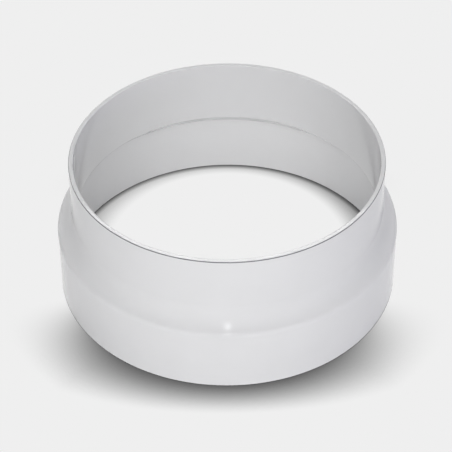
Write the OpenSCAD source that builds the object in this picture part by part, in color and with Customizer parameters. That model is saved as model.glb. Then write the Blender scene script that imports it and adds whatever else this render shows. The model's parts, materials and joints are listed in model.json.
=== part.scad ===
// Round duct reducer, moulded in one piece as a thin shell of revolution.
// A narrow spigot at the top goes into a hose or duct, and a wide socket at the bottom slips over one.
// The spigot flares into the socket through a shoulder: a hollow neck curve, then a tight brow curve.
// The axis is Z, the origin is the centre of the socket's mouth, and the part stands on that mouth.

/* [Diameters] */
// Outside diameter of the duct that the socket takes
duct_d = 160; // [80:1:320]
// Clearance round that duct, on each side
duct_clearance = 0.2; // [0:0.05:0.6]
// How much narrower the spigot is outside than that duct
reduction = 10; // [4:0.5:20]

/* [Lengths] */
// Straight length of the spigot, from the neck curve to the rim
spigot_l = 27; // [15:0.5:80]
// Straight height of the socket's outside, from its mouth to the brow curve
socket_l = 30.5; // [20:0.5:80]

/* [Wall] */
// Thickness of the spigot and of the socket
wall = 2.2; // [1.6:0.1:3]
// Thickness left between the neck curve and the stop cone inside it
neck_wall = 2; // [1.4:0.1:3]

/* [Shoulder] */
// Radius of the hollow curve at the foot of the spigot
neck_r = 12; // [9:0.5:20]
// Radius of the round curve at the top of the socket
brow_r = 3; // [2:0.25:6]

/* [Edges] */
// Radius of the soft edges at the rim and at the mouth
edge_r = 0.5; // [0.2:0.05:0.7]
// Radius of the lip where the stop cone meets the spigot's bore
lip_r = 1.2; // [0.4:0.1:2]

/* [Hidden] */
white = [0.87, 0.87, 0.88];
// How far the hollow runs past the rim and the mouth
past = 1;
$fn = 180;

spigot_r = (duct_d - reduction) / 2;
bore_r = spigot_r - wall;
seat_r = duct_d / 2 + duct_clearance;
socket_r = seat_r + wall;

// The neck and brow curves meet where both have turned this far from the upright wall
lean = acos(1 - (socket_r - spigot_r) / (neck_r + brow_r));
brow_c = [socket_r - brow_r, socket_l];
neck_c = [spigot_r + neck_r, socket_l + (neck_r + brow_r) * sin(lean)];
height = neck_c[1] + spigot_l;

// The stop is a cone at 45 degrees, so radius plus height is the same all along it
stop_sum = neck_c[0] + neck_c[1] - (neck_r + neck_wall) * sqrt(2);
seat_l = stop_sum - seat_r;
lip_z = stop_sum - bore_r;
// The lip's circle touches the bore at the height of its own centre
lip_c = [bore_r + lip_r, lip_z + lip_r * tan(22.5)];

// Half a section of everything inside the outer surface
module outer_half() {
    square([spigot_r, height]);
    square([socket_r, socket_l]);
    translate(brow_c) circle(r = brow_r);
    difference() {
        polygon([[0, socket_l], brow_c, neck_c, [0, neck_c[1]]]);
        translate(neck_c) circle(r = neck_r);
    }
}

// Half a section of the hollow: the bore, the stop cone and the seat for the duct
module hollow_half() {
    square([bore_r, height + past]);
    translate([0, -past]) square([seat_r, seat_l + past]);
    polygon([[0, seat_l], [seat_r, seat_l], [bore_r, lip_z], [0, lip_z]]);
}

// What the round lip takes off the corner between the bore and the stop cone
module lip_off() {
    reach = 2 * lip_r;
    difference() {
        polygon([lip_c, lip_c - [reach, 0], lip_c - reach * [cos(45), sin(45)]]);
        translate(lip_c) circle(r = lip_r);
    }
}

// What a soft edge takes off a square corner of wall that lies towards +X and +Y of it
module edge_off() {
    difference() {
        translate([-edge_r, -edge_r]) square(2 * edge_r);
        translate([edge_r, edge_r]) circle(r = edge_r);
    }
}

// The four soft edges: inside and outside, at the rim and at the mouth
module edges_off() {
    translate([bore_r, height]) mirror([0, 1]) edge_off();
    translate([spigot_r, height]) mirror([1, 0]) mirror([0, 1]) edge_off();
    translate([seat_r, 0]) edge_off();
    translate([socket_r, 0]) mirror([1, 0]) edge_off();
}

module reducer() {
    color(white) rotate_extrude() difference() {
        outer_half();
        hollow_half();
        lip_off();
        edges_off();
    }
}

reducer();
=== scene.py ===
"""A round duct reducer in white moulded plastic, standing on its wide socket on a plain pale floor.

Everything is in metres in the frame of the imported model: +Z is the duct's axis, and the origin is the
centre of the socket's mouth. The camera looks along +Y and down.
"""
import json
import math
import bpy
from mathutils import Matrix, Vector


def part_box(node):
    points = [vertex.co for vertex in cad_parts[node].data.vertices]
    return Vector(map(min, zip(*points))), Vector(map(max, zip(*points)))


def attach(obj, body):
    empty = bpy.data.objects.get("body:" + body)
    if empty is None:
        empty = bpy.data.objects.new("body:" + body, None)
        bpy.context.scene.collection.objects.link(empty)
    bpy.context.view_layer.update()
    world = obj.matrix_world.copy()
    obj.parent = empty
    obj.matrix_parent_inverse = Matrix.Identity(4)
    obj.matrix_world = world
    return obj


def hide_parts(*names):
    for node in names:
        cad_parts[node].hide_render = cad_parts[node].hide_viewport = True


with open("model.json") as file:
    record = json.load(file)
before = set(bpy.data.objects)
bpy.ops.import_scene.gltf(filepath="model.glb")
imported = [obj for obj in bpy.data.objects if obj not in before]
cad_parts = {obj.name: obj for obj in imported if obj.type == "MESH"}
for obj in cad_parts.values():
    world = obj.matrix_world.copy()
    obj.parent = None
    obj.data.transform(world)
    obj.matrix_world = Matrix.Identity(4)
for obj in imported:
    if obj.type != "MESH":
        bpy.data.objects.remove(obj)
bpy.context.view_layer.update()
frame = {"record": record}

MM = 0.001

# How many steps the section is turned in
TURNS = 384
# The plain pale colour that the camera sees all round
BACKDROP = "#EFEFEF"
FLOOR_RADIUS = 6

# The photograph's camera, solved from the rim, the outlines and the shoulder's highlights
IMAGE_W = 452
VIEW_DISTANCE = 0.885
VIEW_ELEVATION = math.radians(40.92)
VIEW_ROLL = -0.0063
FOCAL_PIXELS = 1811.3
AIM_HEIGHT = 0.0267
AXIS_PIXEL_X = 227.37


def linear(code):
    """A colour written as sRGB hex, as linear RGBA."""
    channels = [int(code[i : i + 2], 16) / 255 for i in (1, 3, 5)]
    return (*[c / 12.92 if c <= 0.04045 else ((c + 0.055) / 1.055) ** 2.4 for c in channels], 1)


def add_node(tree, kind, inputs=None, **settings):
    """Adds a node and sets it up. An input given a socket is linked to it, and any other value is set."""
    made = tree.nodes.new(kind)
    for name, value in settings.items():
        setattr(made, name, value)
    for key, value in (inputs or {}).items():
        if isinstance(value, bpy.types.NodeSocket):
            tree.links.new(value, made.inputs[key])
        else:
            made.inputs[key].default_value = value
    return made


def new_material(name):
    """An empty node material, and its tree."""
    made = bpy.data.materials.new(name)
    made.use_nodes = True
    made.node_tree.nodes.clear()
    return made, made.node_tree


# Camera

def make_camera():
    """The photograph's camera. The small shift puts the part's axis where the photograph has it."""
    data = bpy.data.cameras.new("camera")
    data.sensor_width = 36
    data.lens = data.sensor_width * FOCAL_PIXELS / IMAGE_W
    data.shift_x = (IMAGE_W / 2 - AXIS_PIXEL_X) / IMAGE_W
    camera = bpy.data.objects.new("camera", data)
    back = Vector((0, -math.cos(VIEW_ELEVATION), math.sin(VIEW_ELEVATION)))
    place = Vector((0, 0, AIM_HEIGHT)) + VIEW_DISTANCE * back
    tilt = Matrix.Rotation(math.pi / 2 - VIEW_ELEVATION, 4, "X")
    camera.matrix_world = Matrix.Translation(place) @ tilt @ Matrix.Rotation(VIEW_ROLL, 4, "Z")
    bpy.context.scene.collection.objects.link(camera)
    bpy.context.scene.camera = camera


# The reducer's section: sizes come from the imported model, and the curves repeat the CAD source's own values

low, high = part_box("reducer")
mount_r = {m["name"]: m["dims"]["r_mm"] * MM for m in frame["record"]["mounts"] if "r_mm" in m["dims"]}
height = high.z
socket_r = high.x
seat_r = mount_r["socket"]
spigot_r = mount_r["spigot"]
wall = socket_r - seat_r
bore_r = spigot_r - wall
socket_l = 30.5 * MM
neck_r = 12 * MM
brow_r = 3 * MM
neck_wall = 2 * MM
edge_r = 0.5 * MM
lip_r = 1.2 * MM
# The mould leaves a small radius where the stop cone meets the seat
root_r = 0.3 * MM

lean = math.acos(1 - (socket_r - spigot_r) / (neck_r + brow_r))
brow_c = (socket_r - brow_r, socket_l)
neck_c = (spigot_r + neck_r, socket_l + (neck_r + brow_r) * math.sin(lean))
stop_sum = sum(neck_c) - (neck_r + neck_wall) * math.sqrt(2)
half_turn = math.tan(math.radians(22.5))

# Each arc of the section is a centre, a radius and the angles where it starts and ends, in degrees from +R.
# They run up the outside, over the rim and down the inside, and straight lines join them.
ARCS = [
    ((socket_r - edge_r, edge_r), edge_r, -90, 0),
    (brow_c, brow_r, 0, math.degrees(lean)),
    (neck_c, neck_r, 180 + math.degrees(lean), 180),
    ((spigot_r - edge_r, height - edge_r), edge_r, 0, 90),
    ((bore_r + edge_r, height - edge_r), edge_r, 90, 180),
    ((bore_r + lip_r, stop_sum - bore_r + lip_r * half_turn), lip_r, 180, 225),
    ((seat_r - root_r, stop_sum - seat_r - root_r * half_turn), root_r, 45, 0),
    ((seat_r + edge_r, edge_r), edge_r, 180, 270),
]


def arc_points(centre, radius, start, end):
    """Points along an arc, about one for each 5 degrees of turn."""
    count = max(4, round(abs(end - start) / 5))
    angles = [math.radians(start + (end - start) * i / count) for i in range(count + 1)]
    return [Vector((centre[0] + radius * math.cos(a), centre[1] + radius * math.sin(a))) for a in angles]


def line_points(start, end):
    """Points between two ends. The first and last lie close to the ends, which keeps the shading flat."""
    length = (end - start).length
    hold = 0.2 * MM
    spacing = 4 * MM
    if length < 3 * hold:
        return []
    count = max(2, round(length / spacing))
    inner = [start.lerp(end, i / count) for i in range(1, count)]
    return [start.lerp(end, hold / length), *inner, start.lerp(end, 1 - hold / length)]


def section_points():
    """The closed section, as points (radius, height)."""
    points = []
    for arc in ARCS:
        fresh = arc_points(*arc)
        if points:
            points += line_points(points[-1], fresh[0])
            if (points[-1] - fresh[0]).length < 0.01 * MM:
                points.pop()
        points += fresh
    return points + line_points(points[-1], points[0])


def lathe(name, points, turns):
    """A closed section turned about Z, as a smooth mesh of quads."""
    corners = []
    for i in range(turns):
        angle = 2 * math.pi * i / turns
        corners += [(r * math.cos(angle), r * math.sin(angle), z) for r, z in points]
    n = len(points)
    total = n * turns
    quads = []
    for i in range(turns):
        here, there = i * n, (i + 1) % turns * n
        quads += [(here + j, there + j, there + (j + 1) % n, here + (j + 1) % n) for j in range(n)]
    mesh = bpy.data.meshes.new(name)
    mesh.from_pydata(corners, [], quads)
    mesh.validate()
    mesh.polygons.foreach_set("use_smooth", [True] * total)
    made = bpy.data.objects.new(name, mesh)
    bpy.context.scene.collection.objects.link(made)
    return made


# Materials

def white_plastic():
    """White ABS, injection moulded against a polished tool: an even, opaque white with a fine, weak gloss.
    The skin of a large thin wall sinks and swells a little as it cools, and that bends its reflections."""
    made, tree = new_material("moulded_white_abs")
    place = add_node(tree, "ShaderNodeTexCoord").outputs["Object"]

    # Pigment: soft clouds about 20 mm across, a hundredth lighter or darker
    cloud = add_node(tree, "ShaderNodeTexNoise", {"Vector": place, "Scale": 1 / (20 * MM), "Detail": 3.0})
    pigment = add_node(tree, "ShaderNodeMix", {
        "Factor": cloud.outputs["Fac"],
        "A": linear("#E6E6E6"),
        "B": linear("#EAEAEA"),
    }, data_type="RGBA")

    # Painted shade: a grey hair line painted on the rim's outer edge, where a thin line of shade falls
    shade_line_drop = 0.3 * MM
    split = add_node(tree, "ShaderNodeSeparateXYZ", {"Vector": place})
    flat = add_node(tree, "ShaderNodeVectorMath", {0: place, 1: (1, 1, 0)}, operation="MULTIPLY")
    radius = add_node(tree, "ShaderNodeVectorMath", {0: flat.outputs["Vector"]}, operation="LENGTH")
    below_rim = add_node(tree, "ShaderNodeMath", {0: height, 1: split.outputs["Z"]}, operation="SUBTRACT")
    off_line = add_node(tree, "ShaderNodeMath", {
        0: below_rim.outputs["Value"],
        1: shade_line_drop,
    }, operation="SUBTRACT")
    gap = add_node(tree, "ShaderNodeMath", {0: off_line.outputs["Value"]}, operation="ABSOLUTE")
    band = add_node(tree, "ShaderNodeMapRange", {
        "Value": gap.outputs["Value"],
        "From Min": 0.15 * MM,
        "From Max": 0.25 * MM,
        "To Min": 1.0,
        "To Max": 0.0,
    })
    outer = add_node(tree, "ShaderNodeMath", {
        0: radius.outputs["Value"],
        1: spigot_r - edge_r,
    }, operation="GREATER_THAN")
    line = add_node(tree, "ShaderNodeMath", {
        0: band.outputs["Result"],
        1: outer.outputs["Value"],
    }, operation="MULTIPLY")
    # The painted shade line darkens the pigment
    colour = add_node(tree, "ShaderNodeMix", {
        "Factor": line.outputs["Value"],
        "A": pigment.outputs["Result"],
        "B": linear("#77777A"),
    }, data_type="RGBA")

    # Surface: sink waves about 25 mm long, under a very faint grain. The real grain is too fine to show, so
    # it is drawn at 0.6 mm.
    wave = add_node(tree, "ShaderNodeTexNoise", {"Vector": place, "Scale": 1 / (25 * MM), "Detail": 1.0})
    swell = add_node(tree, "ShaderNodeBump", {
        "Height": wave.outputs["Fac"],
        "Distance": 0.03 * MM,
        "Strength": 1.0,
    })
    grain = add_node(tree, "ShaderNodeTexNoise", {"Vector": place, "Scale": 1 / (0.6 * MM), "Detail": 2.0})
    skin = add_node(tree, "ShaderNodeBump", {
        "Height": grain.outputs["Fac"],
        "Distance": 0.001 * MM,
        "Strength": 1.0,
        "Normal": swell.outputs["Normal"],
    })
    polish = add_node(tree, "ShaderNodeMapRange", {
        "Value": cloud.outputs["Fac"],
        "To Min": 0.05,
        "To Max": 0.08,
    })
    shader = add_node(tree, "ShaderNodeBsdfPrincipled", {
        "Base Color": colour.outputs["Result"],
        "Roughness": polish.outputs["Result"],
        "IOR": 1.5,
        "Specular IOR Level": 0.25,
        "Normal": skin.outputs["Normal"],
    })
    add_node(tree, "ShaderNodeOutputMaterial", {"Surface": shader.outputs["BSDF"]})
    return made


def backdrop_rays(tree):
    """1 for rays that see the plain pale backdrop: the camera's, and those sent on by gloss or glass."""
    path = add_node(tree, "ShaderNodeLightPath")
    sent_on = add_node(tree, "ShaderNodeMath", {
        0: path.outputs["Is Glossy Ray"],
        1: path.outputs["Is Transmission Ray"],
    }, operation="ADD")
    return add_node(tree, "ShaderNodeMath", {
        0: path.outputs["Is Camera Ray"],
        1: sent_on.outputs["Value"],
    }, operation="ADD", use_clamp=True).outputs["Value"]


def pale_floor():
    """Matt white paper. The camera sees it evenly pale, with a painted shadow of the part: its ambient
    occlusion, shaped as if the light came from behind and high up, so the shadow is deep in front of the part
    and shallow inside it."""
    made, tree = new_material("pale_paper")
    place = add_node(tree, "ShaderNodeNewGeometry").outputs["Position"]
    radius = add_node(tree, "ShaderNodeVectorMath", {0: place}, operation="LENGTH")
    inside = add_node(tree, "ShaderNodeMath", {
        0: radius.outputs["Value"],
        1: socket_r,
    }, operation="LESS_THAN")
    outward = add_node(tree, "ShaderNodeVectorMath", {0: place}, operation="NORMALIZE")
    split = add_node(tree, "ShaderNodeSeparateXYZ", {"Vector": outward.outputs["Vector"]})

    # Outside, the painted shadow grows from the sides to the front, is widest off the front, and is lighter
    # on
    #     # the right. Behind the part there is only a weak one.
    front_depth = add_node(tree, "ShaderNodeMapRange", {
        "Value": split.outputs["Y"], "From Min": -0.26, "From Max": -0.94, "To Min": 0.0, "To Max": 3.0,
    }, interpolation_type="SMOOTHSTEP")
    rightness = add_node(tree, "ShaderNodeMath", {0: split.outputs["X"], 1: 3.0}, operation="POWER")
    lighter = add_node(tree, "ShaderNodeMath", {
        0: rightness.outputs["Value"],
        1: -0.35,
        2: 1.0,
    }, operation="MULTIPLY_ADD")
    back_depth = add_node(tree, "ShaderNodeMapRange", {
        "Value": split.outputs["Y"], "From Min": 0.5, "From Max": 0.95, "To Min": 0.0, "To Max": 1.3,
    }, interpolation_type="SMOOTHSTEP")
    depth_out = add_node(tree, "ShaderNodeMath", {
        0: front_depth.outputs["Result"],
        1: lighter.outputs["Value"],
        2: back_depth.outputs["Result"],
    }, operation="MULTIPLY_ADD")
    reach_out = add_node(tree, "ShaderNodeMapRange", {
        "Value": split.outputs["Y"],
        "From Min": -0.73,
        "From Max": -1.0,
        "To Min": 34 * MM,
        "To Max": 18 * MM,
    })

    # Inside, the painted shadow is a thin band along the far wall, wider and deeper at both sides
    off_side = add_node(tree, "ShaderNodeMath", {0: split.outputs["Y"]}, operation="ABSOLUTE")
    along = add_node(tree, "ShaderNodeMath", {
        0: off_side.outputs["Value"],
        1: 0.3,
        2: 0.3,
    }, operation="SMOOTH_MAX")
    side_depth = add_node(tree, "ShaderNodeMapRange", {
        "Value": along.outputs["Value"],
        "To Min": 2.15,
        "To Max": 1.05,
    })
    depth_in = add_node(tree, "ShaderNodeMath", {
        0: split.outputs["X"],
        1: 0.42,
        2: side_depth.outputs["Result"],
    }, operation="MULTIPLY_ADD")
    reach_in = add_node(tree, "ShaderNodeMapRange", {
        "Value": along.outputs["Value"],
        "To Min": 22.5 * MM,
        "To Max": 7.5 * MM,
    })

    depth = add_node(tree, "ShaderNodeMix", {
        "Factor": inside.outputs["Value"],
        "A": depth_out.outputs["Value"],
        "B": depth_in.outputs["Value"],
    })
    reach = add_node(tree, "ShaderNodeMix", {
        "Factor": inside.outputs["Value"],
        "A": reach_out.outputs["Result"],
        "B": reach_in.outputs["Result"],
    })
    # The painted shadow: the part's ambient occlusion, raised to the depth
    open_sky = add_node(tree, "ShaderNodeAmbientOcclusion", {
        "Distance": reach.outputs["Result"],
    }, samples=16)
    soft_shade = add_node(tree, "ShaderNodeMath", {
        0: open_sky.outputs["AO"],
        1: depth.outputs["Result"],
    }, operation="POWER")

    # Painted shade: a dark line about 2 mm wide, painted along the foot of the inner wall
    foot = add_node(tree, "ShaderNodeAmbientOcclusion", {"Distance": 3.2 * MM}, samples=16)
    foot_depth = add_node(tree, "ShaderNodeMath", {0: inside.outputs["Value"], 1: 1.8}, operation="MULTIPLY")
    foot_shade = add_node(tree, "ShaderNodeMath", {
        0: foot.outputs["AO"],
        1: foot_depth.outputs["Value"],
    }, operation="POWER")
    shade = add_node(tree, "ShaderNodeMath", {
        0: soft_shade.outputs["Value"],
        1: foot_shade.outputs["Value"],
    }, operation="MULTIPLY")

    # The camera sees the backdrop's colour darkened by the painted shadow
    painted_shadow_glow = add_node(tree, "ShaderNodeEmission", {
        "Color": linear(BACKDROP),
        "Strength": shade.outputs["Value"],
    })
    lit = add_node(tree, "ShaderNodeBsdfDiffuse", {"Color": linear("#FAFAFA")})
    both = add_node(tree, "ShaderNodeMixShader", {
        0: backdrop_rays(tree),
        1: lit.outputs["BSDF"],
        2: painted_shadow_glow.outputs["Emission"],
    })
    add_node(tree, "ShaderNodeOutputMaterial", {"Surface": both.outputs["Shader"]})
    return made


# Stage and light

def make_floor():
    """The pale floor. It isn't part of the object."""
    bpy.ops.mesh.primitive_circle_add(vertices=96, radius=FLOOR_RADIUS, fill_type="NGON")
    floor = bpy.context.object
    floor.name = "floor"
    floor.data.materials.append(pale_floor())


def add_lamp(name, azimuth, elevation, distance, size, share, colour, in_gloss):
    """A soft rectangular lamp that faces the part. Azimuth 0 is the camera's side and 90 is the right.
    A share of 1 lights a white face that is turned to the lamp to full white."""
    data = bpy.data.lights.new(name, "AREA")
    data.shape = "RECTANGLE"
    data.size, data.size_y = size
    data.color = linear(colour)[:3]
    data.energy = share * (math.pi * distance) ** 2
    lamp = bpy.data.objects.new(name, data)
    a, e = math.radians(azimuth), math.radians(elevation)
    towards = Vector((math.sin(a) * math.cos(e), -math.cos(a) * math.cos(e), math.sin(e)))
    lamp.location = Vector((0, 0, height / 2)) + distance * towards
    lamp.rotation_mode = "QUATERNION"
    lamp.rotation_quaternion = towards.to_track_quat("Z", "Y")
    lamp.visible_glossy = in_gloss
    bpy.context.scene.collection.objects.link(lamp)


# In the photograph the gloss shows only narrow lamps: one in front, as two spots on the shoulder, and one
# behind, which brightens the near side of the rim. The wide lamps are kept out of it.
LAMPS = [
    ("front", 0, 35, 1.5, (1.2, 0.8), 0.38, "#FFFFFF", False),
    ("front_left", -45, 35, 1.5, (1.2, 0.8), 0.12, "#FAFAFF", False),
    ("front_right", 45, 35, 1.5, (1.2, 0.8), 0.05, "#F0F0FF", False),
    ("right", 90, 3, 1.5, (1.2, 0.4), 0.13, "#E4E2FF", False),
    ("back_top", 180, 62, 1.5, (1.2, 0.8), 0.2, "#FFFFFF", False),
    ("back_low", 180, 10, 1.5, (1.2, 0.5), 0.3, "#FFFFFF", False),
    ("back_strip", 180, 46.3, 1.5, (0.5, 0.2), 0.13, "#FFFFFF", True),
    ("front_strip", 0, 44, 1.0, (0.05, 0.5), 0.075, "#FFFFFF", True),
]


def make_world():
    """A white tent round the part, brightest on the camera's side. The camera sees the pale backdrop."""
    world = bpy.data.worlds.new("studio")
    world.use_nodes = True
    tree = world.node_tree
    tree.nodes.clear()
    towards = add_node(tree, "ShaderNodeTexCoord").outputs["Generated"]
    split = add_node(tree, "ShaderNodeSeparateXYZ", {"Vector": towards})
    glow = add_node(tree, "ShaderNodeMapRange", {
        "Value": split.outputs["Y"], "From Min": 0.0, "From Max": -1.0, "To Min": 0.0, "To Max": 0.49,
    }).outputs["Result"]
    tent = add_node(tree, "ShaderNodeBackground", {"Color": linear("#FCFCFF"), "Strength": glow})
    backdrop = add_node(tree, "ShaderNodeBackground", {"Color": linear(BACKDROP), "Strength": 1.0})
    both = add_node(tree, "ShaderNodeMixShader", {
        0: backdrop_rays(tree),
        1: tent.outputs["Background"],
        2: backdrop.outputs["Background"],
    })
    add_node(tree, "ShaderNodeOutputWorld", {"Surface": both.outputs["Shader"]})
    bpy.context.scene.world = world


make_camera()
reducer = lathe("reducer_shell", section_points(), TURNS)
reducer.data.materials.append(white_plastic())
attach(reducer, "root")
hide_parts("reducer")

make_floor()
make_world()
for lamp in LAMPS:
    add_lamp(*lamp)
bpy.context.scene.view_settings.view_transform = "Standard"
